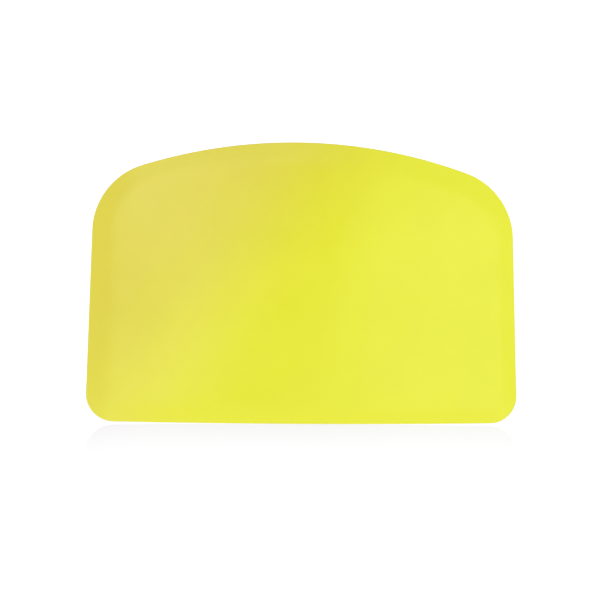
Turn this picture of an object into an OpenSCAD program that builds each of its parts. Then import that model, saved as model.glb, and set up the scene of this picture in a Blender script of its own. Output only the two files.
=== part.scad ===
// Flexible hand scraper: one moulded plastic sheet with a long straight edge,
// an arched edge, two large and two small corners, and a rim that thins out.
//
// The sheet stands in the XZ plane. X runs along the long edge, Y through the
// thickness, Z from the long edge up to the arch. The origin is at the middle
// of the long edge, half way through the thickness.
//
// The real sheet has one motion: it curls about upright lines. It is divided
// into upright strips with a hair gap between neighbours, and each gap is a
// flex line that its two strips turn about.

/* [Outline] */
// Width across the widest part of the sheet
overall_w = 150; // [120:1:170]
// Height from the long edge to the top of the arch
overall_h = 98; // [88:1:110]
// Radius of the arched edge
arch_r = 178; // [160:1:230]
// Radius of the two corners beside the arch
top_corner_r = 24.5; // [18:0.5:28]
// Radius of the two corners beside the long edge
bottom_corner_r = 9.5; // [8.5:0.5:14]
// Lean of each side towards the middle, in degrees
side_lean = 1.2; // [0.2:0.1:2.5]
// How far the middle of the long edge stands proud of its ends
edge_bow = 0.7; // [0.3:0.1:1.5]

/* [Section] */
// Thickness of the sheet
sheet_t = 2.2; // [1.8:0.1:2.6]
// Thickness left at the rim
rim_t = 0.8; // [0.6:0.1:1.2]
// Width of the band in which the sheet thins towards the rim
rim_w = 6.5; // [4:0.5:8]

/* [Flex] */
// Gap between two strips at a flex line
flex_gap = 0.2; // [0.18:0.01:0.3]

/* [Hidden] */

side_strips = 7;                              // strips each side of the middle one
pitch = overall_w / (2 * side_strips + 1);    // distance between flex lines

lemon = [0.92, 0.93, 0.22];
slope = (sheet_t - rim_t) / 2 / rim_w;        // of each bevelled face

// long edge: an arc of very large radius, with its centre far above
bow_r = (pow(overall_w / 2, 2) + pow(edge_bow, 2)) / (2 * edge_bow);

// bottom corner circle: touches the bow and gives the widest point
bc_x = overall_w / 2 - bottom_corner_r;
bc = [bc_x, bow_r - sqrt(pow(bow_r - bottom_corner_r, 2) - bc_x * bc_x)];

// right side line: x cos(lean) + y sin(lean) = side_p
side_n = [cos(side_lean), sin(side_lean)];
side_d = [-sin(side_lean), cos(side_lean)];
side_p = bc * side_n + bottom_corner_r;

// top corner circle: touches the side line and, from inside, the arch
arch_c = [0, overall_h - arch_r];
q = side_n * (side_p - top_corner_r) - arch_c;
along = -(q * side_d)
        + sqrt(pow(q * side_d, 2) - q * q + pow(arch_r - top_corner_r, 2));
tc = arch_c + q + side_d * along;
top_touch = (tc - arch_c) / norm(tc - arch_c);           // direction to the arch

// direction from the bottom corner circle to the bow
bottom_touch = (bc - [0, bow_r]) / norm(bc - [0, bow_r]);

// A disc whose two faces slope down to the rim, before the flat faces are cut
module lens(r, depth, fn) {
    inner = max(r - depth, 0);
    rotate_extrude($fn = fn)
        polygon([[inner, -rim_t / 2 - slope * (r - inner)], [r, -rim_t / 2],
                 [r, rim_t / 2], [inner, rim_t / 2 + slope * (r - inner)]]);
}

// The part of the sheet between x0 and x1 that lies over one area, with
// whatever gives that area its rim as the children
module area(points, x0, x1) {
    intersection() {
        translate([x0, -5, -sheet_t / 2]) cube([x1 - x0, overall_h + 10, sheet_t]);
        linear_extrude(height = 3 * sheet_t, center = true) polygon(points);
        children();
    }
}

// Everything inside the right side line, sloped towards it in the same way
module side_rim() {
    reach = 60;
    translate([side_p * side_n[0], side_p * side_n[1], 0])
        rotate([0, 0, side_lean]) translate([0, overall_h / 2, 0])
            rotate([90, 0, 0])
                linear_extrude(height = 2 * overall_h, center = true)
                    polygon([[0, -rim_t / 2], [0, rim_t / 2],
                             [-reach, rim_t / 2 + slope * reach],
                             [-reach, -rim_t / 2 - slope * reach]]);
}

// The sheet from x0 to x1, lying with its thickness along Z. Four areas meet
// on lines through the two corner centres, where their rims run into each other.
module blank(x0, x1) {
    low = bc + bottom_touch * 20;
    high = tc + top_touch * 50;
    // between the two long edges
    area([[-20, -20], low, bc, tc, high, [-20, overall_h + 20]], x0, x1) {
        intersection() {
            translate([arch_c[0], arch_c[1], 0]) lens(arch_r, overall_h + 15, 720);
            translate([0, bow_r, 0]) lens(bow_r, overall_h + 15, 2880);
        }
    }
    // large corner
    if (x1 > tc[0])
        area([tc, tc + side_n * 40, tc + (side_n + top_touch) * 40, high], x0, x1)
            translate([tc[0], tc[1], 0]) lens(top_corner_r, top_corner_r, 180);
    // side
    if (x1 > tc[0])
        area([bc, bc + side_n * 30, tc + side_n * 40, tc], x0, x1) side_rim();
    // small corner
    if (x1 > bc[0])
        area([bc, low, bc + (side_n + bottom_touch) * 20, bc + side_n * 30], x0, x1)
            translate([bc[0], bc[1], 0]) lens(bottom_corner_r, bottom_corner_r, 120);
}

// Strip number i, counted to the right from the middle one
module strip(i) {
    x0 = (i - 0.5) * pitch + flex_gap / 2;
    x1 = i == side_strips ? overall_w / 2 + 1 : (i + 0.5) * pitch - flex_gap / 2;
    color(lemon) rotate([90, 0, 0]) blank(x0, x1);
}

module centre_strip() { strip(0); }
module right_strip(k) { strip(k); }
module left_strip(k) { mirror([1, 0, 0]) strip(k); }

centre_strip();
left_strip(1);  // left_strip_1
left_strip(2);  // left_strip_2
left_strip(3);  // left_strip_3
left_strip(4);  // left_strip_4
left_strip(5);  // left_strip_5
left_strip(6);  // left_strip_6
left_strip(7);  // left_strip_7
right_strip(1);  // right_strip_1
right_strip(2);  // right_strip_2
right_strip(3);  // right_strip_3
right_strip(4);  // right_strip_4
right_strip(5);  // right_strip_5
right_strip(6);  // right_strip_6
right_strip(7);  // right_strip_7
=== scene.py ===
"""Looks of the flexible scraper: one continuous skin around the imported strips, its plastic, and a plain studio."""
import math

import bpy
import numpy as np
from mathutils import Matrix, Quaternion, Vector

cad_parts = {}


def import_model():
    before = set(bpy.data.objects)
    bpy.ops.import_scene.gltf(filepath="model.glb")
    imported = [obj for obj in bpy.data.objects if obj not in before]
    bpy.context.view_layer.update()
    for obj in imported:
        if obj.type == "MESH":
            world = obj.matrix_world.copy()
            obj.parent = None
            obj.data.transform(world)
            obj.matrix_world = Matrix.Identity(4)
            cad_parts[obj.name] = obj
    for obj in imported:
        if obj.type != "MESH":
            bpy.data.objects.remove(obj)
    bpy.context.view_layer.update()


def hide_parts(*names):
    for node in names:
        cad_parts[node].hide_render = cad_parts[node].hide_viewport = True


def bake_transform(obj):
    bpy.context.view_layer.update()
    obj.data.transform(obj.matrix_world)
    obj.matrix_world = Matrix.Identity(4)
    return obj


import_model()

MM = 0.001

# ---------------------------------------------------------------- the sheet's shape, in millimetres
WIDTH, HEIGHT = 150.0, 98.0
ARCH_R, BIG_R, SMALL_R = 178.0, 24.5, 9.5
LEAN, BOW = math.radians(1.2), 0.7
HALF_SHEET, HALF_RIM, RIM_W = 1.1, 0.4, 6.5
SLOPE = (HALF_SHEET - HALF_RIM) / RIM_W
EDGE_R = 0.25          # rounding of the moulded edge
BLEND_R = 44.0         # the rim runs into the flat face on this radius
PITCH = 10.0           # between flex lines
COLUMN = 1.25          # spacing of the mesh columns
TUCK, SINK = 0.15, 0.003   # each skin ends in a lip that lies this far inside the next one, this much below its surface

BOW_R = ((WIDTH / 2) ** 2 + BOW ** 2) / (2 * BOW)
BOW_C = np.array([0.0, BOW_R])
SMALL_C = np.array([WIDTH / 2 - SMALL_R, BOW_R - math.sqrt((BOW_R - SMALL_R) ** 2 - (WIDTH / 2 - SMALL_R) ** 2)])
SIDE_N = np.array([math.cos(LEAN), math.sin(LEAN)])
SIDE_D = np.array([-math.sin(LEAN), math.cos(LEAN)])
SIDE_P = float(SMALL_C @ SIDE_N) + SMALL_R
ARCH_C = np.array([0.0, HEIGHT - ARCH_R])
_q = SIDE_N * (SIDE_P - BIG_R) - ARCH_C
_s = float(_q @ SIDE_D)
BIG_C = ARCH_C + _q + SIDE_D * (-_s + math.sqrt(_s * _s - float(_q @ _q) + (ARCH_R - BIG_R) ** 2))
ARCH_TOUCH = (BIG_C - ARCH_C) / np.linalg.norm(BIG_C - ARCH_C)
BOW_TOUCH = (SMALL_C - BOW_C) / np.linalg.norm(SMALL_C - BOW_C)


def rim_profile():
    """(depth in from the outline, half thickness, outward share and face share of the normal), from the outline inwards."""
    a = math.atan(SLOPE)
    cy = HALF_RIM + SLOPE * EDGE_R - EDGE_R * math.sqrt(1 + SLOPE ** 2)
    rows = []
    for i in range(7):
        t = (math.pi / 2 - a) * i / 6
        rows.append((EDGE_R - EDGE_R * math.cos(t), cy + EDGE_R * math.sin(t), math.cos(t), math.sin(t)))
    reach = BLEND_R * math.tan(a / 2)
    for d in (0.9, 1.9, 3.0):
        rows.append((d, HALF_RIM + SLOPE * d, math.sin(a), math.cos(a)))
    for i in range(11):
        u = i / 10
        d = RIM_W - reach + 2 * reach * u
        rest = 2 * reach * (1 - u)
        lean = rest / BLEND_R
        rows.append((d, HALF_SHEET - rest ** 2 / (2 * BLEND_R), math.sin(lean), math.cos(lean)))
    return rows


PROFILE = rim_profile()
INNER = PROFILE[-1][0]


def top_at(x, d):
    """The point of the curve a depth d inside the upper outline at this x, and the direction out of the sheet there."""
    if x > BIG_C[0] + (BIG_R - d) * ARCH_TOUCH[0]:
        c, r = BIG_C, BIG_R - d
    else:
        c, r = ARCH_C, ARCH_R - d
    z = c[1] + math.sqrt(r * r - (x - c[0]) ** 2)
    return z, (x - c[0]) / r, (z - c[1]) / r


def bottom_at(x, d):
    r = BOW_R - d
    z = BOW_R - math.sqrt(r * r - x * x)
    return z, x / r, (z - BOW_R) / r


# segments round the end of the sheet: large corner, side, small corner, long edge
ROUND = (18, 22, 12, 6)
ROWS = sum(ROUND)      # also the number of segments up the middle of every column


def ring(d):
    """Points from the seam at the top of the end skin, round the end, to the seam at the bottom, at depth d."""
    x0 = PITCH * 6 + TUCK
    out = []
    a0 = math.acos((x0 - BIG_C[0]) / (BIG_R - d))
    a1 = LEAN
    for i in range(ROUND[0]):
        a = a0 + (a1 - a0) * i / ROUND[0]
        n = np.array([math.cos(a), math.sin(a)])
        out.append((BIG_C + n * (BIG_R - d), n))
    p0, p1 = BIG_C + SIDE_N * (BIG_R - d), SMALL_C + SIDE_N * (SMALL_R - d)
    for i in range(ROUND[1]):
        out.append((p0 + (p1 - p0) * i / ROUND[1], SIDE_N))
    b1 = math.atan2(BOW_TOUCH[1], BOW_TOUCH[0])
    for i in range(ROUND[2]):
        a = LEAN + (b1 - LEAN) * i / ROUND[2]
        n = np.array([math.cos(a), math.sin(a)])
        out.append((SMALL_C + n * (SMALL_R - d), n))
    x1 = BOW_C[0] + BOW_TOUCH[0] * (BOW_R - d)
    for i in range(ROUND[3] + 1):
        x = x1 + (x0 - x1) * i / ROUND[3]
        z, nx, nz = bottom_at(x, d)
        out.append((np.array([x, z]), np.array([nx, nz])))
    out[0] = (np.array([x0, out[0][0][1]]), out[0][1])
    return out


def column(x):
    """The closed loop of a column: up the front face, over the edge, down the back face and under. Each entry is (point, normal, depth)."""
    top = [(top_at(x, d), y, o, f, d) for d, y, o, f in PROFILE]
    bottom = [(bottom_at(x, d), y, o, f, d) for d, y, o, f in PROFILE]
    z0, z1 = bottom[-1][0][0], top[-1][0][0]
    middle = [z0 + (z1 - z0) * i / ROWS for i in range(1, ROWS)]
    front = []
    for (z, nx, nz), y, o, f, d in bottom:
        front.append(((x, -y, z), (nx * o, -f, nz * o), d))
    for z in middle:
        front.append(((x, -HALF_SHEET, z), (0, -1, 0), 9.0))
    for (z, nx, nz), y, o, f, d in reversed(top):
        front.append(((x, -y, z), (nx * o, -f, nz * o), d))
    back = [((p[0], -p[1], p[2]), (n[0], -n[1], n[2]), d) for p, n, d in reversed(front)]
    return front + back


def sunk(loop):
    """The same column just below the surface."""
    out = []
    for p, n, d in loop:
        q = np.array(p) - np.array(n) / np.linalg.norm(n) * SINK
        out.append((tuple(q), n, d))
    return out


class Skin:
    """Gathers points by place, so that neighbouring parts of the mesh share them."""

    def __init__(self):
        self.points, self.normals, self.depths, self.faces, self.caps, self.seen = [], [], [], [], [], {}

    def add(self, p, n, d):
        key = tuple(round(c * 1e5) for c in p)
        if key not in self.seen:
            self.seen[key] = len(self.points)
            self.points.append(p)
            self.normals.append(n)
            self.depths.append(d)
        return self.seen[key]

    def face(self, *corners):
        loop = [c for i, c in enumerate(corners) if c != corners[i - 1]]
        if len(set(loop)) > 2:
            self.faces.append(loop)

    def cap(self, loop, way):
        """A flat end that closes the skin where it meets the next one."""
        self.caps.append((len(self.faces), way))
        self.faces.append(loop)


def middle_skin(k):
    """Skin number k to the right of the middle, from the middle of one strip to the middle of the next, with its lip."""
    s = Skin()
    x0, x1 = PITCH * (k - 1), PITCH * k
    places = [x0, x0 + TUCK] + [x0 + COLUMN * i for i in range(1, round(PITCH / COLUMN))] + [x1 - TUCK]
    loops = [[s.add(*e) for e in column(x)] for x in places]
    loops += [[s.add(*e) for e in sunk(column(x))] for x in (x1, x1 + TUCK)]
    n = len(loops[0])
    for a, b in zip(loops, loops[1:]):
        for j in range(n):
            s.face(a[j], b[j], b[(j + 1) % n], a[(j + 1) % n])
    s.cap(list(loops[0]), -1)
    s.cap(list(reversed(loops[-1])), 1)
    return s


def end_skin():
    """The last skin, round the end of the sheet."""
    s = Skin()
    x0 = PITCH * 6 + TUCK
    rings = [ring(d) for d, _, _, _ in PROFILE]
    across = 6
    for side in (-1, 1):
        rows = []
        for (d, y, o, f), points in zip(PROFILE, rings):
            rows.append([s.add((p[0], side * y, p[1]), (n[0] * o, side * f, n[1] * o), d) for p, n in points])
        inner = rings[-1]
        z1, z0 = inner[0][0][1], inner[-1][0][1]
        for step in range(1, across + 1):
            t = step / across
            row = []
            for j, (p, n) in enumerate(inner):
                z = z1 + (z0 - z1) * j / ROWS
                q = (p[0] + (x0 - p[0]) * t, p[1] + (z - p[1]) * t)
                row.append(s.add((q[0], side * HALF_SHEET, q[1]), (0, side, 0), 9.0 if 0 < j < ROWS else INNER))
            rows.append(row)
        for a, b in zip(rows, rows[1:]):
            for j in range(ROWS):
                quad = (a[j], b[j], b[j + 1], a[j + 1])
                s.face(*(quad if side < 0 else quad[::-1]))
        if side < 0:
            edge = rows[0]
        else:
            for j in range(ROWS):
                s.face(edge[j], edge[j + 1], rows[0][j + 1], rows[0][j])
    seam = [s.add(*e) for e in column(x0)]
    start = [s.add(*e) for e in column(PITCH * 6)]
    n = len(seam)
    for j in range(n):
        s.face(start[j], seam[j], seam[(j + 1) % n], start[(j + 1) % n])
    s.cap(start, -1)
    return s


def build(name, skin, mirrored):
    points = np.array(skin.points, float)
    normals = np.array(skin.normals, float)
    faces = [list(f) for f in skin.faces]
    if mirrored:
        points[:, 0] *= -1
        normals[:, 0] *= -1
        faces = [f[::-1] for f in faces]
    normals /= np.linalg.norm(normals, axis=1)[:, None]
    mesh = bpy.data.meshes.new(name)
    mesh.from_pydata((points * MM).tolist(), [], faces)
    mesh.update()
    mesh.polygons.foreach_set("use_smooth", [True] * len(faces))
    way = {i: (-w if mirrored else w) for i, w in skin.caps}
    corner = []
    hard = set()
    for i, poly in enumerate(mesh.polygons):
        for v in poly.vertices:
            corner.append((float(way[i]), 0.0, 0.0) if i in way else tuple(normals[v]))
        if i in way:
            hard.update(poly.edge_keys)
    sharp = mesh.attributes.new("sharp_edge", "BOOLEAN", "EDGE")
    sharp.data.foreach_set("value", [tuple(sorted(e.vertices)) in hard for e in mesh.edges])
    mesh.normals_split_custom_set(corner)
    depth = mesh.attributes.new("rim_depth", "FLOAT", "POINT")
    depth.data.foreach_set("value", np.array(skin.depths, np.float32))
    obj = bpy.data.objects.new(name, mesh)
    bpy.context.scene.collection.objects.link(obj)
    return obj


# ---------------------------------------------------------------- plastic
def plastic():
    """Lemon plastic moulded in one: satin-glossy, with the faint unevenness that a mould leaves in a thick soft sheet."""
    m = bpy.data.materials.new("lemon_plastic")
    m.use_nodes = True
    nt = m.node_tree
    for n in list(nt.nodes):
        nt.nodes.remove(n)
    new, join = nt.nodes.new, nt.links.new
    out = new("ShaderNodeOutputMaterial")
    bsdf = new("ShaderNodeBsdfPrincipled")
    join(bsdf.outputs["BSDF"], out.inputs["Surface"])
    bsdf.inputs["IOR"].default_value = 1.5
    place = new("ShaderNodeTexCoord")

    def noise(feature, detail=2.0, rough=0.5, stretch=None):
        """Noise with features of this size in millimetres."""
        n = new("ShaderNodeTexNoise")
        n.inputs["Scale"].default_value = 1000.0 / feature
        n.inputs["Detail"].default_value = detail
        n.inputs["Roughness"].default_value = rough
        if stretch:
            s = new("ShaderNodeMapping")
            s.inputs["Scale"].default_value = stretch
            join(place.outputs["Object"], s.inputs["Vector"])
            join(s.outputs["Vector"], n.inputs["Vector"])
        else:
            join(place.outputs["Object"], n.inputs["Vector"])
        return n.outputs["Fac"]

    def ranged(value, low, high, to_low, to_high):
        r = new("ShaderNodeMapRange")
        r.interpolation_type = "SMOOTHSTEP"
        for name, v in (("From Min", low), ("From Max", high), ("To Min", to_low), ("To Max", to_high)):
            r.inputs[name].default_value = v
        join(value, r.inputs["Value"])
        return r.outputs["Result"]

    def sum_of(a, b):
        s = new("ShaderNodeMath")
        s.operation = "ADD"
        join(a, s.inputs[0])
        join(b, s.inputs[1])
        return s.outputs[0]

    # pigment: slightly cloudy; the rim is painted a little lighter, a painted lightening that offsets the shade its
    # bevel takes from the lamps
    cloud = noise(24, 3, 0.55)
    tone = new("ShaderNodeMix")
    tone.data_type = "RGBA"
    tone.inputs["A"].default_value = (0.82, 0.85, 0.0215, 1)
    tone.inputs["B"].default_value = (0.84, 0.87, 0.0245, 1)
    join(ranged(cloud, 0.3, 0.7, 0.0, 1.0), tone.inputs["Factor"])
    depth = new("ShaderNodeAttribute")
    depth.attribute_name = "rim_depth"
    # painted light: a lighter yellow towards the outline, so the shade on the sloping rim is cancelled
    painted_rim_light = new("ShaderNodeMix")
    painted_rim_light.data_type = "RGBA"
    painted_rim_light.inputs["A"].default_value = (0.836, 0.868, 0.027, 1)
    join(ranged(depth.outputs["Fac"], 0.0, 6.5, 0.0, 1.0), painted_rim_light.inputs["Factor"])
    join(tone.outputs["Result"], painted_rim_light.inputs["B"])
    join(painted_rim_light.outputs["Result"], bsdf.inputs["Base Color"])

    # gloss: patches of slightly different sheen, with a fine grain
    patch = ranged(noise(15, 2, 0.6), 0.3, 0.7, 0.145, 0.185)
    grain = ranged(noise(0.7, 1), 0.3, 0.7, -0.012, 0.02)
    join(sum_of(patch, grain), bsdf.inputs["Roughness"])

    # relief: slow waves from cooling, orange peel, and a few long faint flow lines
    relief = None
    for value, height in ((noise(17, 1), 0.045), (noise(3.2, 2), 0.006), (noise(0.55, 2), 0.0014),
                          (noise(1.1, 2, 0.5, (1.0, 1.0, 0.06)), 0.0012)):
        bump = new("ShaderNodeBump")
        bump.inputs["Strength"].default_value = 1.0
        bump.inputs["Distance"].default_value = height * MM
        join(value, bump.inputs["Height"])
        if relief is not None:
            join(relief, bump.inputs["Normal"])
        relief = bump.outputs["Normal"]
    join(relief, bsdf.inputs["Normal"])
    return m


# ---------------------------------------------------------------- the object
SHEET = plastic()
SKINS = []
for side, sign in (("left", -1), ("right", 1)):
    for k in range(1, 8):
        skin = end_skin() if k == 7 else middle_skin(k)
        piece = build("skin_%s_%d" % (side, k), skin, sign < 0)
        piece.data.materials.append(SHEET)
        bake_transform(piece)
        nodes = ["%s_strip_%d" % (side, k)] + (["centre_strip"] if k == 1 else [])
        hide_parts(*nodes)
        SKINS.append(piece)


# ---------------------------------------------------------------- camera
CAM = Vector((-63.23, -497.65, 13.73)) * MM
FORWARD = Vector((0.12186, 0.99085, 0.05803)).normalized()
UP = Vector((-0.01538, -0.05658, 0.99828))
RIGHT = FORWARD.cross(UP).normalized()
UP = RIGHT.cross(FORWARD).normalized()
cam_data = bpy.data.cameras.new("camera")
cam_data.sensor_width = 36.0
cam_data.lens = 86.79
cam_data.clip_start, cam_data.clip_end = 0.01, 20.0
cam = bpy.data.objects.new("camera", cam_data)
turn = Matrix((RIGHT, UP, -FORWARD)).transposed()
cam.matrix_world = Matrix.Translation(CAM) @ turn.to_4x4()
bpy.context.scene.collection.objects.link(cam)
bpy.context.scene.camera = cam


# ---------------------------------------------------------------- studio
def link(o):
    bpy.context.scene.collection.objects.link(o)
    return o


def floor():
    """A plain white table, lit from within. Near the sheet it is polished, and there it faintly mirrors the sheet as grey."""
    mesh = bpy.data.meshes.new("floor")
    r = 30.0
    mesh.from_pydata([(-r, -r, 0), (r, -r, 0), (r, r, 0), (-r, r, 0)], [], [(0, 1, 2, 3)])
    o = link(bpy.data.objects.new("floor", mesh))
    m = bpy.data.materials.new("floor")
    m.use_nodes = True
    nt = m.node_tree
    for n in list(nt.nodes):
        nt.nodes.remove(n)
    new, join = nt.nodes.new, nt.links.new
    out = new("ShaderNodeOutputMaterial")
    plain = new("ShaderNodeEmission")
    plain.inputs["Color"].default_value = (1, 1, 1, 1)
    plain.inputs["Strength"].default_value = 1.03
    under = new("ShaderNodeEmission")
    under.inputs["Color"].default_value = (1.03 - 0.69, 1.03 - 0.64, 1.03 - 0.142, 1)
    polish = new("ShaderNodeBsdfGlossy")
    polish.inputs["Color"].default_value = (0.69, 0.64, 0.142, 1)
    polish.inputs["Roughness"].default_value = 0.0
    near = new("ShaderNodeAddShader")
    join(under.outputs[0], near.inputs[0])
    join(polish.outputs[0], near.inputs[1])
    # how far a point of the table is from the foot of the sheet
    place = new("ShaderNodeTexCoord")
    split = new("ShaderNodeSeparateXYZ")
    join(place.outputs["Object"], split.inputs[0])

    def math_of(operation, a, b=None):
        s = new("ShaderNodeMath")
        s.operation = operation
        for i, v in enumerate((a, b)):
            if isinstance(v, float):
                s.inputs[i].default_value = v
            elif v is not None:
                join(v, s.inputs[i])
        return s.outputs[0]

    beside = math_of("MAXIMUM", math_of("SUBTRACT", math_of("ABSOLUTE", split.outputs["X"]), WIDTH / 2 * MM), 0.0)
    away = math_of("SQRT", math_of("ADD", math_of("MULTIPLY", beside, beside),
                                   math_of("MULTIPLY", split.outputs["Y"], split.outputs["Y"])))
    fade = new("ShaderNodeMapRange")
    for name, v in (("From Min", 0.0), ("From Max", 0.25), ("To Min", 1.0), ("To Max", 0.0)):
        fade.inputs[name].default_value = v
    join(away, fade.inputs["Value"])
    mix = new("ShaderNodeMixShader")
    join(fade.outputs["Result"], mix.inputs[0])
    join(plain.outputs[0], mix.inputs[1])
    join(near.outputs[0], mix.inputs[2])
    join(mix.outputs[0], out.inputs["Surface"])
    mesh.materials.append(m)
    o.visible_diffuse = o.visible_glossy = o.visible_shadow = False
    return o


def flags(nt):
    """White all round, except for dark cards low down at both ends of the sheet, which draw its edges but don't show in the table."""
    place = nt.nodes.new("ShaderNodeTexCoord")
    split = nt.nodes.new("ShaderNodeSeparateXYZ")
    nt.links.new(place.outputs["Generated"], split.inputs[0])
    size = nt.nodes.new("ShaderNodeMath")
    size.operation = "ABSOLUTE"
    nt.links.new(split.outputs["Y"], size.inputs[0])
    white = []
    for value, low, high in ((size.outputs[0], 0.5, 0.86), (split.outputs["Z"], 0.03, 0.09)):
        r = nt.nodes.new("ShaderNodeMapRange")
        r.interpolation_type = "SMOOTHSTEP"
        for name, v in (("From Min", low), ("From Max", high), ("To Min", 0.3), ("To Max", 1.0)):
            r.inputs[name].default_value = v
        nt.links.new(value, r.inputs["Value"])
        white.append(r.outputs["Result"])
    path = nt.nodes.new("ShaderNodeLightPath")
    white.append(path.outputs["Is Singular Ray"])
    level = white[0]
    for value in white[1:]:
        most = nt.nodes.new("ShaderNodeMath")
        most.operation = "MAXIMUM"
        nt.links.new(level, most.inputs[0])
        nt.links.new(value, most.inputs[1])
        level = most.outputs[0]
    return level


def rising(nt, below, above):
    """A strength that runs from straight below to straight above."""
    place = nt.nodes.new("ShaderNodeTexCoord")
    split = nt.nodes.new("ShaderNodeSeparateXYZ")
    nt.links.new(place.outputs["Generated"], split.inputs[0])
    r = nt.nodes.new("ShaderNodeMapRange")
    for name, v in (("From Min", -1.0), ("From Max", 1.0), ("To Min", below), ("To Max", above)):
        r.inputs[name].default_value = v
    nt.links.new(split.outputs["Z"], r.inputs["Value"])
    return r.outputs["Result"]


def world(seen, mirrored, light):
    """A white studio all round: how it looks behind the object, how it looks in the gloss, and what it gives as light."""
    w = bpy.data.worlds.new("studio")
    bpy.context.scene.world = w
    w.use_nodes = True
    nt = w.node_tree
    for n in list(nt.nodes):
        nt.nodes.remove(n)
    out = nt.nodes.new("ShaderNodeOutputWorld")
    path = nt.nodes.new("ShaderNodeLightPath")
    below = None
    for share, colour in ((None, light), ("Is Glossy Ray", mirrored), ("Is Camera Ray", seen)):
        b = nt.nodes.new("ShaderNodeBackground")
        b.inputs["Color"].default_value = (*colour, 1)
        b.inputs["Strength"].default_value = 1.0
        if share == "Is Glossy Ray":
            nt.links.new(flags(nt), b.inputs["Strength"])
        if share is None:
            nt.links.new(rising(nt, 1.35, 0.65), b.inputs["Strength"])
        if below is None:
            below = b.outputs[0]
            continue
        mix = nt.nodes.new("ShaderNodeMixShader")
        nt.links.new(path.outputs[share], mix.inputs[0])
        nt.links.new(below, mix.inputs[1])
        nt.links.new(b.outputs[0], mix.inputs[2])
        below = mix.outputs[0]
    nt.links.new(below, out.inputs["Surface"])


def aim(o, place, target):
    o.location = Vector(place) * MM
    o.rotation_mode = "QUATERNION"
    o.rotation_quaternion = (Vector(target) * MM - o.location).to_track_quat("-Z", "Y")
    return link(o)


def spot(name, place, target, power, colour, size_deg, blend, radius=0.02):
    d = bpy.data.lights.new(name, "SPOT")
    d.energy, d.color = power, colour
    d.spot_size, d.spot_blend = math.radians(size_deg), blend
    d.shadow_soft_size = radius
    o = aim(bpy.data.objects.new(name, d), place, target)
    o.visible_camera = o.visible_glossy = False
    return o


def softbox(name, place, half, radiance, turn=0.0):
    """The white face of a softbox, square to the sheet and turned in its own plane, that shows only in the gloss."""
    d = bpy.data.lights.new(name, "AREA")
    d.shape = "RECTANGLE"
    d.size, d.size_y = 2 * half[0] * MM, 2 * half[1] * MM
    d.energy = radiance * math.pi * d.size * d.size_y
    o = aim(bpy.data.objects.new(name, d), place, (place[0], 0, place[2]))
    o.rotation_quaternion = o.rotation_quaternion @ Quaternion((0, 0, 1), math.radians(turn))
    o.visible_camera = o.visible_diffuse = False
    return o


def black_card(name, place, half, turn):
    """A black card, square to the sheet and turned in its own plane, that shows only in the sheet's gloss, not in the table."""
    mesh = bpy.data.meshes.new(name)
    x, z = half[0] * MM, half[1] * MM
    mesh.from_pydata([(-x, 0, -z), (x, 0, -z), (x, 0, z), (-x, 0, z)], [], [(0, 1, 2, 3)])
    m = bpy.data.materials.new(name)
    m.use_nodes = True
    nt = m.node_tree
    for n in list(nt.nodes):
        nt.nodes.remove(n)
    out = nt.nodes.new("ShaderNodeOutputMaterial")
    dark = nt.nodes.new("ShaderNodeEmission")
    dark.inputs["Color"].default_value = (0, 0, 0, 1)
    dark.inputs["Strength"].default_value = 0.0
    gone = nt.nodes.new("ShaderNodeBsdfTransparent")
    path = nt.nodes.new("ShaderNodeLightPath")
    mix = nt.nodes.new("ShaderNodeMixShader")
    nt.links.new(path.outputs["Is Singular Ray"], mix.inputs[0])
    nt.links.new(dark.outputs[0], mix.inputs[1])
    nt.links.new(gone.outputs[0], mix.inputs[2])
    nt.links.new(mix.outputs[0], out.inputs["Surface"])
    mesh.materials.append(m)
    o = link(bpy.data.objects.new(name, mesh))
    o.location = Vector(place) * MM
    o.rotation_euler = (0, math.radians(turn), 0)
    o.visible_camera = o.visible_diffuse = o.visible_shadow = False
    return o


def only_for(light, objects):
    """Lets a light fall on these objects alone."""
    group = bpy.data.collections.new(light.name + "_only")
    for o in objects:
        group.objects.link(o)
    light.light_linking.receiver_collection = group


floor()
world((1.2, 1.2, 1.2), (1.01, 1.01, 1.01), (0.84, 0.70, 0.6))
spot("key", (500, -1300, 300), (788, 0, -555), 21.3, (0.513, 1.0, 1.0), 79.98, 0.09)
only_for(spot("key_behind", (620, 1250, 420), (-60, 0, 40), 19.0, (0.506, 1.0, 1.0), 30, 0.9), SKINS)
softbox("softbox_left", (-229, -900, 182), (160, 470), 0.9, -16)
softbox("softbox_middle", (-25, -900, 84), (64, 419), 1.6, -16)
softbox("softbox_high", (-80, -880, 300), (70, 150), 1.35)
softbox("softbox_right", (333, -900, 10), (165, 210), 0.83)
black_card("black_card", (97, -940, 92), (25, 190), 30)

bpy.context.scene.view_settings.view_transform = "Standard"
bpy.context.scene.view_settings.look = "None"
bpy.context.scene.view_settings.exposure = 0.0
bpy.context.scene.view_settings.gamma = 1.0
